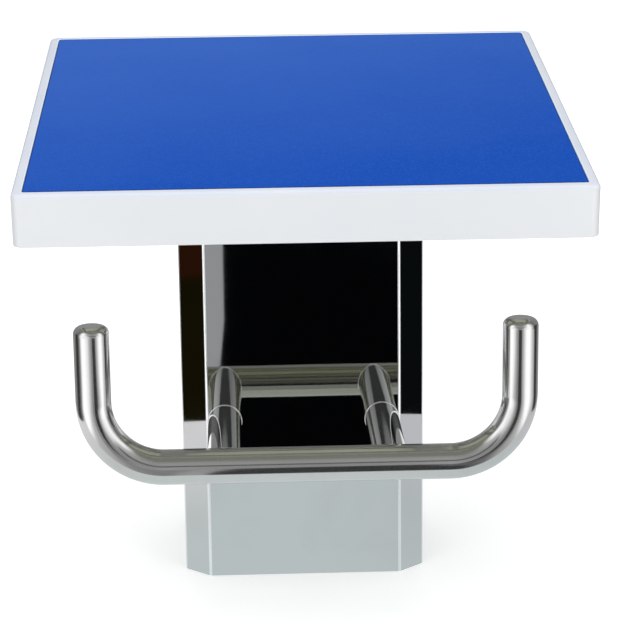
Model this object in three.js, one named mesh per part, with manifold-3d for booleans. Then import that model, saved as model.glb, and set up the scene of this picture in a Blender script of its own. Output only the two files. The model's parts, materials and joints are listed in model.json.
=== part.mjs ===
// A swimming starting block: a sloping moulded platform on a column of folded sheet, with a
// backstroke handle on the column's front. Sizes are in millimetres and +Z is up.
// The origin is the middle of the column's foot, on the deck. The pool lies towards -Y.
import * as THREE from "three";
import { mergeVertices } from "three/addons/utils/BufferGeometryUtils.js";
import Module from "manifold-3d";

const wasm = await Module();
wasm.setup();

const quarterTurn = Math.PI / 2;
const degree = Math.PI / 180;

// Overall sizes
const platformWidth = 500;
const platformDepth = 500; // along its slope
const platformSlope = 8 * degree;
const frontEdgeHeight = 418; // from the deck to the top of the platform's front edge
const rearOverhang = 96; // of the platform's rear edge past the column's rear face

// Fits between pieces
const seatGap = 0.3; // between faces that rest on or fit in each other
const boltClearance = 0.4; // around a bolt or screw in its hole
const cutOverrun = 6; // how far a cutter runs past the faces it opens

// Platform shell, moulded in glass fibre as a tray that opens downwards
const skirtHeight = 47;
const laminate = 4;
const shellCornerRadius = 9;
const shellEdgeRound = 4;
const rimWidth = 9.5; // from the shell's side to the recess for the anti-slip surface

// Anti-slip surface, bonded in the recess
const surfaceThickness = 3;
const surfaceCornerRadius = 2.5;

// Core board bonded under the shell's top
const coreThickness = 10;
const coreMargin = 12; // between the board and the skirt

// Frame of box-section rails under the core
const railWidth = 30;
const railHeight = 20;
const railWall = 2;
const railFrameInset = 30; // from the shell's sides to the frame

// Screws up through the cross rails into the core
const railScrewRadius = 3;
const railScrewHeadRadius = 6;
const railScrewHeadHeight = 3.4;
const railScrewCover = 3; // of board over a screw's tip
const railScrewEdge = 40; // from a cross rail's end to its outer screw

// Head plate, welded on the posts and bolted to the side rails
const headPlateThickness = 8;
const headPlateCornerRadius = 12;
const headBoltRoom = 14; // from the column's sides to the bolts' middles
const headBoltSpacing = 160; // along the slope
const headBoltEdge = 25; // from the outer bolts to the plate's sides
const headBoltEnd = 32; // from the outer bolts to the plate's front and rear
const headBoltRadius = 5;
const headBoltHeadWidth = 17; // across its flats
const headBoltHeadHeight = 6.4;
const headBoltTip = 2; // of the bolt past its nut
const headNutHeight = 8;
const headWasherRadius = 10;
const headWasherThickness = 2;

// Column, folded from mirror-polished sheet
const columnWidth = 232;
const columnDepth = 200;
const columnWall = 2;
const chamferWidth = 24; // across the column
const chamferDepth = 22; // along the column's depth
const foldInnerRadius = 2;

// Base plate inside the column's foot, with a hole for each deck anchor
const basePlateThickness = 10;
const anchorHoleRadius = 7;
const anchorSpacingAcross = 100;
const anchorSpacingAlong = 140;

// Four posts that carry the head plate
const postWidth = 30;
const postWall = 2.5;
const postSideRoom = 9; // between the posts and the column's sides

// Channel across the front posts that takes the handle's pull
const channelHeight = 60;
const channelDepth = 25;
const channelWall = 5;
const channelEndMargin = 2; // from the channel's ends to the chamfers

// Access hole in the column's back, with its cover, gasket, screws and nuts
const accessWidth = 116;
const accessHeight = 160;
const accessCornerRadius = 10;
const coverOverlap = 16;
const coverThickness = 2;
const coverCornerRadius = 8;
const gasketThickness = 1.5;
const coverScrewInset = 8; // from the cover's edges to each screw
const coverScrewRadius = 2.5;
const coverScrewHeadRadius = 4.8;
const coverScrewHeadHeight = 2.6;
const coverNutRadius = 5;
const coverNutHeight = 5;

// Backstroke handle, bent from round tube
const tubeDiameter = 32;
const tubeWall = 2;
const handleSpan = 380; // between the upright grips' middles
const handleHeight = 156; // from the deck to the bar's middle
const handleReach = 136; // from the column's face to the bar's middle
const gripTopHeight = 288; // from the deck to the tops of the upright grips
const bendRadius = 62; // at the tube's middle
const capHeight = 8;
const capRound = 7.5;
const capSpigot = 10;

// Standoffs between the handle and the column, and what holds them from inside
const standoffSpacing = 150;
const plugFloor = 5; // of the plug past the end of its threaded hole
const handleBoltRadius = 6;
const handleBoltHeadWidth = 18; // across its flats
const handleBoltHeadHeight = 7.5;
const handleBoltBite = 18; // length in the plug
const handleBoltEndRoom = 3; // in the plug past the bolt's tip
const handleWasherRadius = 12;
const handleWasherThickness = 2.5;

// Facet counts
const tubeSides = 32;
const bendSteps = 10;
const cornerSteps = 4;
const foldSteps = 3;
const edgeRoundSteps = 3;
const capSteps = 5;
const hexSides = 6;
const screwSides = 14;
const washerSides = 20;

// Levels in the platform's frame, measured down from the top of the anti-slip surface
const recessFloor = -surfaceThickness - seatGap;
const laminateUnderside = recessFloor - laminate;
const coreTop = laminateUnderside - seatGap;
const coreUnderside = coreTop - coreThickness;
const railTop = coreUnderside - seatGap;
const railUnderside = railTop - railHeight;
const headPlateTop = railUnderside - seatGap;
const headPlateUnderside = headPlateTop - headPlateThickness;
const columnTopLevel = headPlateUnderside - seatGap;

// Places along the column's depth
const columnFront = -columnDepth / 2;
const columnBack = columnDepth / 2;
const channelFront = columnFront + columnWall + seatGap;
const channelBack = channelFront + channelDepth;
const postSpacingAlong = -2 * (channelBack + seatGap + postWidth / 2);

// The middle of the platform's top in the column's frame, and the spot over the column's middle
// in the platform's frame
const platformMiddle = new THREE.Vector3(
  0,
  columnBack + rearOverhang - (platformDepth / 2) * Math.cos(platformSlope),
  frontEdgeHeight + (platformDepth / 2) * Math.sin(platformSlope),
);
const headPlateMiddle =
  (headPlateUnderside * Math.sin(platformSlope) - platformMiddle.y) / Math.cos(platformSlope);

// Sizes that follow from the driving ones
const recessWidth = platformWidth - 2 * rimWidth;
const recessDepth = platformDepth - 2 * rimWidth;
const railFrameWidth = platformWidth - 2 * railFrameInset;
const railFrameDepth = platformDepth - 2 * railFrameInset;
const crossRailSpacing = railFrameDepth - railWidth;
const sideRailSpacing = columnWidth + 2 * headBoltRoom; // runs over the head bolts
const headPlateWidth = sideRailSpacing + 2 * headBoltEdge;
const headPlateDepth = headBoltSpacing + 2 * headBoltEnd;
const columnHeight = platformMiddle.z; // before its top is cut to the slope
const postSpacing = columnWidth - 2 * (columnWall + postSideRoom) - postWidth;
const coverWidth = accessWidth + 2 * coverOverlap;
const coverHeight = accessHeight + 2 * coverOverlap;
const tubeRadius = tubeDiameter / 2;
const tubeBore = tubeRadius - tubeWall;
const plugLength = handleBoltBite + handleBoltEndRoom + plugFloor;

// Finishes, with a new material for each piece
const finish = (color, roughness, metalness) => () =>
  new THREE.MeshStandardMaterial({ color, roughness, metalness });
const whiteGelcoat = finish(0xe8eaec, 0.3, 0);
const blueAntiSlip = finish(0x315ab7, 0.65, 0);
const coreBoard = finish(0xc3c5b4, 0.55, 0); // sealed with glass fibre and resin
const mirrorSteel = finish(0xd2d4d6, 0.05, 1);
const polishedSteel = finish(0xcbcdce, 0.16, 1);
const millSteel = finish(0x9a9c9e, 0.45, 1);
const zincSteel = finish(0xb9bcbd, 0.35, 1);
const blackRubber = finish(0x18191a, 0.85, 0);

// Sides and ends, and their names
const left = -1;
const right = 1;
const front = -1;
const rear = 1;
const sides = [left, right];
const ends = [front, rear];
const sideName = (side) => (side === left ? "left" : "right");
const endName = (end) => (end === front ? "front" : "rear");

// A named piece in a group
function piece(group, name, geometry, material, place = [0, 0, 0], turn = [0, 0, 0]) {
  const mesh = new THREE.Mesh(geometry, material());
  mesh.name = name;
  mesh.position.set(...place);
  mesh.rotation.set(...turn);
  group.add(mesh);
}

// A closed geometry as a solid that can be cut and joined
function solid(geometry) {
  const bare = geometry.clone();
  bare.deleteAttribute("normal");
  bare.deleteAttribute("uv");
  const merged = mergeVertices(bare);
  const triVerts = new Uint32Array(merged.index.array);
  const vertProperties = merged.getAttribute("position").array;
  return new wasm.Manifold(new wasm.Mesh({ numProp: 3, vertProperties, triVerts }));
}

// A geometry with others joined to it, then others cut out
function combined(first, { add = [], cut = [] }) {
  let made = solid(first);
  for (const extra of add) made = made.add(solid(extra));
  for (const cutter of cut) made = made.subtract(solid(cutter));
  const { vertProperties, triVerts } = made.getMesh();
  const geometry = new THREE.BufferGeometry();
  geometry.setAttribute("position", new THREE.BufferAttribute(vertProperties, 3));
  geometry.setIndex(new THREE.BufferAttribute(triVerts, 1));
  geometry.computeVertexNormals();
  return geometry;
}

// An outline through corner points, with an arc of the given radius at each corner
function roundedOutline(corners, radius, steps) {
  const points = corners.flatMap((corner, i) => {
    const before = corners.at(i - 1).clone().sub(corner).normalize();
    const after = corners[(i + 1) % corners.length].clone().sub(corner).normalize();
    const halfAngle = Math.acos(before.dot(after)) / 2;
    const turn = Math.PI - 2 * halfAngle;
    const inwards = before.clone().add(after).normalize();
    const centre = corner.clone().addScaledVector(inwards, radius / Math.sin(halfAngle));
    const start = corner.clone().addScaledVector(before, radius / Math.tan(halfAngle)).sub(centre);
    return Array.from({ length: steps + 1 }, (_, step) =>
      start.clone().rotateAround(new THREE.Vector2(), (turn * step) / steps).add(centre),
    );
  });
  return new THREE.Shape(points);
}

// Corner points of a rectangle around the origin, anticlockwise
function rectangle(width, depth) {
  const [x, y] = [width / 2, depth / 2];
  return [
    new THREE.Vector2(-x, -y),
    new THREE.Vector2(x, -y),
    new THREE.Vector2(x, y),
    new THREE.Vector2(-x, y),
  ];
}

const roundedRectangle = (width, depth, radius) =>
  roundedOutline(rectangle(width, depth), radius, cornerSteps);

// Corner points of a regular outline around the origin
function circlePoints(radius, count) {
  return Array.from({ length: count }, (_, i) => {
    const angle = (2 * Math.PI * (i + 0.5)) / count;
    return new THREE.Vector2(radius * Math.cos(angle), radius * Math.sin(angle));
  });
}

const circle = (radius, count) => new THREE.Shape(circlePoints(radius, count));

// A shape with a hole of another outline
function withHole(shape, holePoints) {
  shape.holes.push(new THREE.Path(holePoints));
  return shape;
}

// An outline raised from z = 0
const raised = (shape, height) =>
  new THREE.ExtrudeGeometry(shape, { depth: height, bevelEnabled: false });

// A cutter for a hole through a plate that rises from z = 0
const holeThrough = (radius, thickness, { x, y }, count = screwSides) =>
  raised(circle(radius, count), thickness + 2 * cutOverrun).translate(x, y, -cutOverrun);

// A square-cornered box section along +Z
function boxSection(width, depth, wall, length) {
  const bore = rectangle(width - 2 * wall, depth - 2 * wall);
  return raised(withHole(new THREE.Shape(rectangle(width, depth)), bore), length);
}

// A ring that rises from z = 0: a washer, or a nut where its outline has six sides
const ring = (outerRadius, innerRadius, thickness, count) =>
  raised(withHole(circle(outerRadius, count), circlePoints(innerRadius, screwSides)), thickness);

const hexRadius = (acrossFlats) => acrossFlats / 2 / Math.cos(Math.PI / hexSides);

// A hex bolt along +Z, with its head's seat at z = 0
function hexBolt(radius, length, headWidth, headHeight) {
  const head = raised(circle(hexRadius(headWidth), hexSides), headHeight);
  const shank = raised(circle(radius, screwSides), length + headHeight / 2);
  return combined(head.translate(0, 0, -headHeight), {
    add: [shank.translate(0, 0, -headHeight / 2)],
  });
}

// A pan-head screw along +Z, with its head's seat at z = 0
function panScrew(radius, length, headRadius, headHeight) {
  const profile = [
    new THREE.Vector2(0, -headHeight),
    new THREE.Vector2(headRadius / 2, -headHeight),
    new THREE.Vector2(headRadius, -headHeight / 2),
    new THREE.Vector2(headRadius, 0),
    new THREE.Vector2(radius, 0),
    new THREE.Vector2(radius, length),
    new THREE.Vector2(0, length),
  ];
  return new THREE.LatheGeometry(profile, screwSides).rotateX(quarterTurn);
}

// The four corners of a bolt or post pattern
function fourCorners(across, along) {
  return ends.flatMap((end) =>
    sides.map((side) => ({
      x: (side * across) / 2,
      y: (end * along) / 2,
      where: `${endName(end)}_${sideName(side)}`,
    })),
  );
}

// Platform. Its group lies in the slope: x across, y up the slope and z out of it, from the
// middle of its top.
function makePlatform() {
  const platform = new THREE.Group();
  platform.position.copy(platformMiddle);
  platform.rotation.x = platformSlope;
  makeSurface(platform);
  makeShell(platform);
  makeCore(platform);
  makeCrossRails(platform);
  makeSideRails(platform);
  makeHeadPlate(platform);
  makeHeadBolts(platform);
  platform.updateMatrix();
  return platform;
}

function makeSurface(platform) {
  const outline = roundedRectangle(
    recessWidth - 2 * seatGap,
    recessDepth - 2 * seatGap,
    surfaceCornerRadius,
  );
  const place = [0, 0, -surfaceThickness];
  piece(platform, "antislip_surface", raised(outline, surfaceThickness), blueAntiSlip, place);
}

// The shell is rounded at its top edge, hollow below, and has a recess in its top
function makeShell(platform) {
  const outline = roundedRectangle(platformWidth, platformDepth, shellCornerRadius);
  const body = new THREE.ExtrudeGeometry(outline, {
    depth: skirtHeight,
    bevelThickness: shellEdgeRound,
    bevelSize: shellEdgeRound,
    bevelOffset: -shellEdgeRound,
    bevelSegments: edgeRoundSteps,
  }).translate(0, 0, -skirtHeight - shellEdgeRound);
  const belowWidth = platformWidth + 2 * cutOverrun;
  const belowDepth = platformDepth + 2 * cutOverrun;
  const below = raised(new THREE.Shape(rectangle(belowWidth, belowDepth)), skirtHeight);
  const hollow = raised(
    roundedRectangle(
      platformWidth - 2 * laminate,
      platformDepth - 2 * laminate,
      shellCornerRadius - laminate,
    ),
    skirtHeight + laminateUnderside + cutOverrun,
  );
  const recess = raised(
    roundedRectangle(recessWidth, recessDepth, surfaceCornerRadius + seatGap),
    cutOverrun - recessFloor,
  );
  const shell = combined(body, {
    cut: [
      below.translate(0, 0, -2 * skirtHeight),
      hollow.translate(0, 0, -skirtHeight - cutOverrun),
      recess.translate(0, 0, recessFloor),
    ],
  });
  piece(platform, "platform_shell", shell, whiteGelcoat);
}

// Where a cross rail's screws go along it
const railScrewPlaces = [left, 0, right].map((side) => ({
  x: side * (railFrameWidth / 2 - railScrewEdge),
  where: side ? sideName(side) : "middle",
}));

function makeCore(platform) {
  const inset = 2 * (laminate + coreMargin);
  const outline = new THREE.Shape(rectangle(platformWidth - inset, platformDepth - inset));
  const depth = coreThickness - railScrewCover + seatGap;
  const pilots = ends.flatMap((end) =>
    railScrewPlaces.map(({ x }) =>
      raised(circle(railScrewRadius + seatGap, screwSides), depth + cutOverrun).translate(
        x,
        (end * crossRailSpacing) / 2,
        -cutOverrun,
      ),
    ),
  );
  const core = combined(raised(outline, coreThickness), { cut: pilots });
  piece(platform, "platform_core", core, coreBoard, [0, 0, coreUnderside]);
}

// The front and rear rails, with the screws that hold them to the core
function makeCrossRails(platform) {
  const holeRadius = railScrewRadius + boltClearance;
  const screwSeat = railUnderside - seatGap;
  const screwLength = coreUnderside + coreThickness - railScrewCover - screwSeat;
  for (const end of ends) {
    const y = (end * crossRailSpacing) / 2;
    const section = boxSection(railHeight, railWidth, railWall, railFrameWidth)
      .rotateY(quarterTurn)
      .translate(-railFrameWidth / 2, 0, railHeight / 2);
    const holes = railScrewPlaces.map(({ x }) => holeThrough(holeRadius, railHeight, { x, y: 0 }));
    const rail = combined(section, { cut: holes });
    piece(platform, `${endName(end)}_cross_rail`, rail, millSteel, [0, y, railUnderside]);

    for (const { x, where } of railScrewPlaces) {
      const screw = panScrew(
        railScrewRadius,
        screwLength,
        railScrewHeadRadius,
        railScrewHeadHeight,
      );
      piece(platform, `rail_screw_${endName(end)}_${where}`, screw, zincSteel, [x, y, screwSeat]);
    }
  }
}

// The rails between the cross rails, each with a hole in its lower wall for each head bolt
function makeSideRails(platform) {
  const length = crossRailSpacing - railWidth - 2 * seatGap;
  for (const side of sides) {
    const section = boxSection(railWidth, railHeight, railWall, length)
      .rotateX(-quarterTurn)
      .translate(0, -length / 2, railHeight / 2);
    const holes = ends.map((end) =>
      holeThrough(headBoltRadius + boltClearance, railWall, {
        x: 0,
        y: headPlateMiddle + (end * headBoltSpacing) / 2,
      }),
    );
    const rail = combined(section, { cut: holes });
    const place = [(side * sideRailSpacing) / 2, 0, railUnderside];
    piece(platform, `${sideName(side)}_side_rail`, rail, millSteel, place);
  }
}

function makeHeadPlate(platform) {
  const outline = roundedRectangle(headPlateWidth, headPlateDepth, headPlateCornerRadius);
  const holes = fourCorners(sideRailSpacing, headBoltSpacing).map((place) =>
    holeThrough(headBoltRadius + boltClearance, headPlateThickness, place),
  );
  const plate = combined(raised(outline, headPlateThickness), { cut: holes });
  piece(platform, "head_plate", plate, millSteel, [0, headPlateMiddle, headPlateUnderside]);
}

// Bolts up through the head plate and the side rails' lower walls, with nuts inside the rails
function makeHeadBolts(platform) {
  const washerLevel = headPlateUnderside - seatGap - headWasherThickness;
  const boltSeat = washerLevel - seatGap;
  const nutLevel = railUnderside + railWall + seatGap;
  const boltLength = nutLevel + headNutHeight + headBoltTip - boltSeat;
  const bore = headBoltRadius + boltClearance;
  const nutRadius = hexRadius(headBoltHeadWidth);
  for (const { x, y, where } of fourCorners(sideRailSpacing, headBoltSpacing)) {
    const at = (level) => [x, headPlateMiddle + y, level];
    const bolt = hexBolt(headBoltRadius, boltLength, headBoltHeadWidth, headBoltHeadHeight);
    piece(platform, `head_bolt_${where}`, bolt, zincSteel, at(boltSeat));
    const washer = ring(headWasherRadius, bore, headWasherThickness, washerSides);
    piece(platform, `head_washer_${where}`, washer, zincSteel, at(washerLevel));
    const nut = ring(nutRadius, bore, headNutHeight, hexSides);
    piece(platform, `head_nut_${where}`, nut, zincSteel, at(nutLevel));
  }
}

// The column's outline moved inwards: flat faces, chamfered corners and rounded folds
function columnOutline(inset, radius) {
  const shrink = Math.hypot(chamferWidth, chamferDepth) - chamferWidth - chamferDepth;
  const across = chamferWidth + (inset * shrink) / chamferDepth;
  const along = chamferDepth + (inset * shrink) / chamferWidth;
  const [x, y] = [columnWidth / 2 - inset, columnDepth / 2 - inset];
  const corners = [
    [x - across, -y],
    [x, along - y],
    [x, y - along],
    [x - across, y],
    [across - x, y],
    [-x, y - along],
    [-x, along - y],
    [across - x, -y],
  ].map((corner) => new THREE.Vector2(...corner));
  return roundedOutline(corners, radius, foldSteps);
}

// A cutter for everything above the slope of the column's top
function aboveSlope(platform) {
  const outline = new THREE.Shape(rectangle(2 * columnWidth, 2 * platformDepth));
  return raised(outline, columnHeight).translate(0, 0, columnTopLevel).applyMatrix4(platform.matrix);
}

// Cutters for the handle's bolts, through the sheet and the channel behind it
function handleBoltHoles() {
  return sides.map((side) =>
    holeThrough(handleBoltRadius + boltClearance, columnWall + channelWall, {
      x: (side * standoffSpacing) / 2,
      y: -handleHeight,
    })
      .rotateX(-quarterTurn)
      .translate(0, columnFront, 0),
  );
}

// Column, with what it holds and what closes it
function makeColumn(platform) {
  const column = new THREE.Group();
  const slopeCut = aboveSlope(platform);
  makeColumnShell(column, slopeCut);
  makeBasePlate(column);
  makePosts(column, slopeCut);
  makeHandleChannel(column);
  makeAccessCover(column);
  makeCoverScrews(column);
  return column;
}

function makeColumnShell(column, slopeCut) {
  const inside = raised(
    columnOutline(columnWall, foldInnerRadius),
    columnHeight + 2 * cutOverrun,
  ).translate(0, 0, -cutOverrun);
  const access = raised(
    roundedRectangle(accessWidth, accessHeight, accessCornerRadius),
    columnWall + 2 * cutOverrun,
  ).translate(0, 0, -cutOverrun);
  const backCuts = [access, ...coverScrewHoles(columnWall)].map((cutter) =>
    cutter.rotateX(quarterTurn).translate(0, columnBack, handleHeight),
  );
  const shell = combined(raised(columnOutline(0, foldInnerRadius + columnWall), columnHeight), {
    cut: [inside, slopeCut, ...backCuts, ...handleBoltHoles()],
  });
  piece(column, "column_shell", shell, mirrorSteel);
}

function makeBasePlate(column) {
  const outline = columnOutline(columnWall + seatGap, foldInnerRadius);
  const holes = fourCorners(anchorSpacingAcross, anchorSpacingAlong).map((place) =>
    holeThrough(anchorHoleRadius, basePlateThickness, place, washerSides),
  );
  const plate = combined(raised(outline, basePlateThickness), { cut: holes });
  piece(column, "base_plate", plate, millSteel);
}

function makePosts(column, slopeCut) {
  for (const { x, y, where } of fourCorners(postSpacing, postSpacingAlong)) {
    const foot = basePlateThickness + seatGap;
    const post = combined(boxSection(postWidth, postWidth, postWall, columnHeight), {
      cut: [slopeCut.clone().translate(-x, -y, -foot)],
    });
    piece(column, `post_${where}`, post, millSteel, [x, y, foot]);
  }
}

// The channel's web lies against the sheet and its two flanges point backwards
function makeHandleChannel(column) {
  const length = columnWidth - 2 * (chamferWidth + channelEndMargin);
  const half = channelHeight / 2;
  const web = channelFront + channelWall;
  const section = new THREE.Shape([
    new THREE.Vector2(channelFront, -half),
    new THREE.Vector2(channelBack, -half),
    new THREE.Vector2(channelBack, channelWall - half),
    new THREE.Vector2(web, channelWall - half),
    new THREE.Vector2(web, half - channelWall),
    new THREE.Vector2(channelBack, half - channelWall),
    new THREE.Vector2(channelBack, half),
    new THREE.Vector2(channelFront, half),
  ]);
  const bar = raised(section, length)
    .rotateY(quarterTurn)
    .rotateX(quarterTurn)
    .translate(-length / 2, 0, handleHeight);
  const channel = combined(bar, { cut: handleBoltHoles() });
  piece(column, "handle_channel", channel, millSteel);
}

// Where the cover's screws go, from the cover's middle
const coverScrewPlaces = fourCorners(
  coverWidth - 2 * coverScrewInset,
  coverHeight - 2 * coverScrewInset,
).map(({ x, y, where }) => ({
  x,
  y,
  where: where.replace("front", "lower").replace("rear", "upper"),
}));

const coverScrewHoles = (thickness) =>
  coverScrewPlaces.map((place) => holeThrough(coverScrewRadius + boltClearance, thickness, place));

// The cover on the column's back, on its gasket. Both are flat outlines that are stood up.
const standing = [quarterTurn, 0, 0];
const gasketBack = columnBack + seatGap + gasketThickness;
const coverBack = gasketBack + seatGap + coverThickness;

function makeAccessCover(column) {
  const outline = () => roundedRectangle(coverWidth, coverHeight, coverCornerRadius);
  const accessHole = roundedRectangle(accessWidth, accessHeight, accessCornerRadius).getPoints();
  const gasket = combined(raised(withHole(outline(), accessHole), gasketThickness), {
    cut: coverScrewHoles(gasketThickness),
  });
  piece(column, "cover_gasket", gasket, blackRubber, [0, gasketBack, handleHeight], standing);

  const cover = combined(raised(outline(), coverThickness), {
    cut: coverScrewHoles(coverThickness),
  });
  piece(column, "access_cover", cover, mirrorSteel, [0, coverBack, handleHeight], standing);
}

function makeCoverScrews(column) {
  const screwSeat = coverBack + seatGap;
  const nutBack = columnBack - columnWall - seatGap;
  const length = screwSeat - nutBack + coverNutHeight;
  const bore = coverScrewRadius + boltClearance;
  for (const { x, y, where } of coverScrewPlaces) {
    const screw = panScrew(coverScrewRadius, length, coverScrewHeadRadius, coverScrewHeadHeight);
    const at = (back) => [x, back, handleHeight + y];
    piece(column, `cover_screw_${where}`, screw, zincSteel, at(screwSeat), standing);
    const nut = ring(coverNutRadius, bore, coverNutHeight, hexSides);
    piece(column, `cover_nut_${where}`, nut, zincSteel, at(nutBack), standing);
  }
}

// The handle's line: down one grip, round its bend, along the bar and up the other side. Its
// steps are the places where the tube's facets meet.
class HandleLine extends THREE.Curve {
  constructor() {
    super();
    const end = (side) => ({
      place: new THREE.Vector3((side * handleSpan) / 2, 0, gripTopHeight - handleHeight - capHeight),
      heading: new THREE.Vector3(0, 0, side),
    });
    const bend = (side) =>
      Array.from({ length: bendSteps + 1 }, (_, step) => {
        const angle = (quarterTurn * step) / bendSteps;
        const x = handleSpan / 2 - bendRadius + bendRadius * Math.cos(angle);
        const z = bendRadius - bendRadius * Math.sin(angle);
        return {
          place: new THREE.Vector3(side * x, 0, z),
          heading: new THREE.Vector3(Math.sin(angle), 0, side * Math.cos(angle)),
        };
      });
    this.stations = [end(left), ...bend(left), ...bend(right).reverse(), end(right)];
    this.steps = this.stations.length - 1;
  }

  getPointAt(share) {
    return this.stations[Math.round(share * this.steps)].place.clone();
  }

  getTangentAt(share) {
    return this.stations[Math.round(share * this.steps)].heading.clone();
  }
}

const tubeSection = () =>
  withHole(circle(tubeRadius, tubeSides), circlePoints(tubeBore, tubeSides));

// Backstroke handle. Its group has its origin at the middle of the bar.
function makeHandle() {
  const handle = new THREE.Group();
  handle.position.set(0, columnFront - handleReach, handleHeight);
  makeGrabBar(handle);
  for (const side of sides) {
    makeEndCap(handle, side);
    makeStandoff(handle, side);
    makeHandleBolt(handle, side);
  }
  return handle;
}

function makeGrabBar(handle) {
  const line = new HandleLine();
  const bar = new THREE.ExtrudeGeometry(tubeSection(), { steps: line.steps, extrudePath: line });
  piece(handle, "grab_bar", bar, polishedSteel);
}

// A domed cap with a spigot inside the tube
function makeEndCap(handle, side) {
  const spigotRadius = tubeBore - seatGap;
  const dome = Array.from({ length: capSteps + 1 }, (_, step) => {
    const angle = (quarterTurn * step) / capSteps;
    return new THREE.Vector2(
      tubeRadius - capRound + capRound * Math.cos(angle),
      capHeight - capRound + capRound * Math.sin(angle),
    );
  });
  const profile = [
    new THREE.Vector2(0, -capSpigot),
    new THREE.Vector2(spigotRadius, -capSpigot),
    new THREE.Vector2(spigotRadius, seatGap),
    new THREE.Vector2(tubeRadius, seatGap),
    ...dome,
    new THREE.Vector2(0, capHeight),
  ];
  const cap = new THREE.LatheGeometry(profile, tubeSides).rotateX(quarterTurn);
  const place = [(side * handleSpan) / 2, 0, gripTopHeight - handleHeight - capHeight];
  piece(handle, `end_cap_${sideName(side)}`, cap, polishedSteel, place);
}

// A standoff is coped round the bar, and its other end stands on the column's face
function makeStandoff(handle, side) {
  const cope = raised(circle(tubeRadius + seatGap, tubeSides), 2 * tubeDiameter)
    .rotateY(quarterTurn)
    .translate(-tubeDiameter, 0, 0);
  const tube = raised(tubeSection(), handleReach - seatGap);
  const standoff = combined(tube, { cut: [cope] });
  const place = [(side * standoffSpacing) / 2, 0, 0];
  const turn = [-quarterTurn, 0, 0];
  piece(handle, `standoff_${sideName(side)}`, standoff, polishedSteel, place, turn);
}

// The plug in the standoff's end, with the bolt and washer that hold it from inside the column
function makeHandleBolt(handle, side) {
  const at = (y) => [(side * standoffSpacing) / 2, y, 0];
  const plugEnd = handleReach - seatGap;
  const boreDepth = handleBoltBite + handleBoltEndRoom;
  const bore = raised(circle(handleBoltRadius + seatGap, screwSides), boreDepth + cutOverrun);
  const plug = combined(raised(circle(tubeBore - seatGap, tubeSides), plugLength), {
    cut: [bore.translate(0, 0, -cutOverrun)],
  });
  piece(handle, `standoff_plug_${sideName(side)}`, plug, millSteel, at(plugEnd), standing);

  const webBack = handleReach + columnWall + seatGap + channelWall;
  const washerBack = webBack + seatGap + handleWasherThickness;
  const washer = ring(
    handleWasherRadius,
    handleBoltRadius + boltClearance,
    handleWasherThickness,
    washerSides,
  );
  piece(handle, `handle_washer_${sideName(side)}`, washer, zincSteel, at(washerBack), standing);

  const boltSeat = washerBack + seatGap;
  const length = boltSeat - plugEnd + handleBoltBite;
  const bolt = hexBolt(handleBoltRadius, length, handleBoltHeadWidth, handleBoltHeadHeight);
  piece(handle, `handle_bolt_${sideName(side)}`, bolt, zincSteel, at(boltSeat), standing);
}

const startingBlock = new THREE.Group();
const platform = makePlatform();
startingBlock.add(platform, makeColumn(platform), makeHandle());

export default startingBlock;
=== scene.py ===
import json
import math
import bpy
import bmesh
from bmesh.types import BMEdge, BMFace, BMVert
from mathutils import Matrix, Vector


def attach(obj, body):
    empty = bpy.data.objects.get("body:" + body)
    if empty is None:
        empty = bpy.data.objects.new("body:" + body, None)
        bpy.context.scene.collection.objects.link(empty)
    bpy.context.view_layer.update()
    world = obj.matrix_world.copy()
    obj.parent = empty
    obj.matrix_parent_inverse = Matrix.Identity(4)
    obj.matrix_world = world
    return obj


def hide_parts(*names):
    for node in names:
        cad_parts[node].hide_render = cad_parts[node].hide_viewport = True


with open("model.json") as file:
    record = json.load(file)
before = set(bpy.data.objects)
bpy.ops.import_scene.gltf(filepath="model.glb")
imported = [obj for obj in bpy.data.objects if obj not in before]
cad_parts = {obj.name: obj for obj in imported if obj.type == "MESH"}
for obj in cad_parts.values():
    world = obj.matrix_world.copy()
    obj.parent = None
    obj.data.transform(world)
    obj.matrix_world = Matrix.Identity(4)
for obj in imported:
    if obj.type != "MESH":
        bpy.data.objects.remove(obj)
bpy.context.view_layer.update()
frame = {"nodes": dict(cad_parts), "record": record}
mm = 0.001
turn90 = math.radians(90)
at = Matrix.Translation
tilted = Matrix.Rotation(turn90, 4, "X")  # what was up points to the pool
print("frame loaded:", len(frame["nodes"]), "nodes")


# Camera

view = {
    "place": (-0.0570, -2.1813, 0.7911),
    "turned": -1.98,  # degrees, negative to the right of straight ahead
    "down": 14.41,
    "rolled": -0.64,
    "lens": 128.87,
    "sensor": 36,
    "farthest": 60,
}


def makeCamera():
    data = bpy.data.cameras.new("frontCamera")
    data.lens = view["lens"]
    data.sensor_width = view["sensor"]
    data.clip_end = view["farthest"]
    camera = bpy.data.objects.new("frontCamera", data)
    bpy.context.scene.collection.objects.link(camera)
    camera.matrix_world = (
        at(view["place"])
        @ Matrix.Rotation(math.radians(view["turned"]), 4, "Z")
        @ Matrix.Rotation(math.radians(90 - view["down"]), 4, "X")
        @ Matrix.Rotation(math.radians(view["rolled"]), 4, "Z")
    )
    bpy.context.scene.camera = camera


makeCamera()
print("camera placed")


# Small helpers for nodes


def plug(tree, node, inputs):
    for name, value in inputs.items():
        if isinstance(value, bpy.types.NodeSocket):
            tree.links.new(value, node.inputs[name])
        else:
            node.inputs[name].default_value = value


def add(tree, kind, inputs=None, **settings):
    node = tree.nodes.new("ShaderNode" + kind)
    for name, value in settings.items():
        setattr(node, name, value)
    plug(tree, node, inputs or {})
    return node


def calc(tree, operation, first, second=0.0):
    return add(tree, "Math", {0: first, 1: second}, operation=operation).outputs[0]


def weighed(tree, first, share, second):  # share of the first, and the rest from the second
    return calc(
        tree, "ADD", calc(tree, "MULTIPLY", first, share), calc(tree, "MULTIPLY", second, 1 - share)
    )


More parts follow.
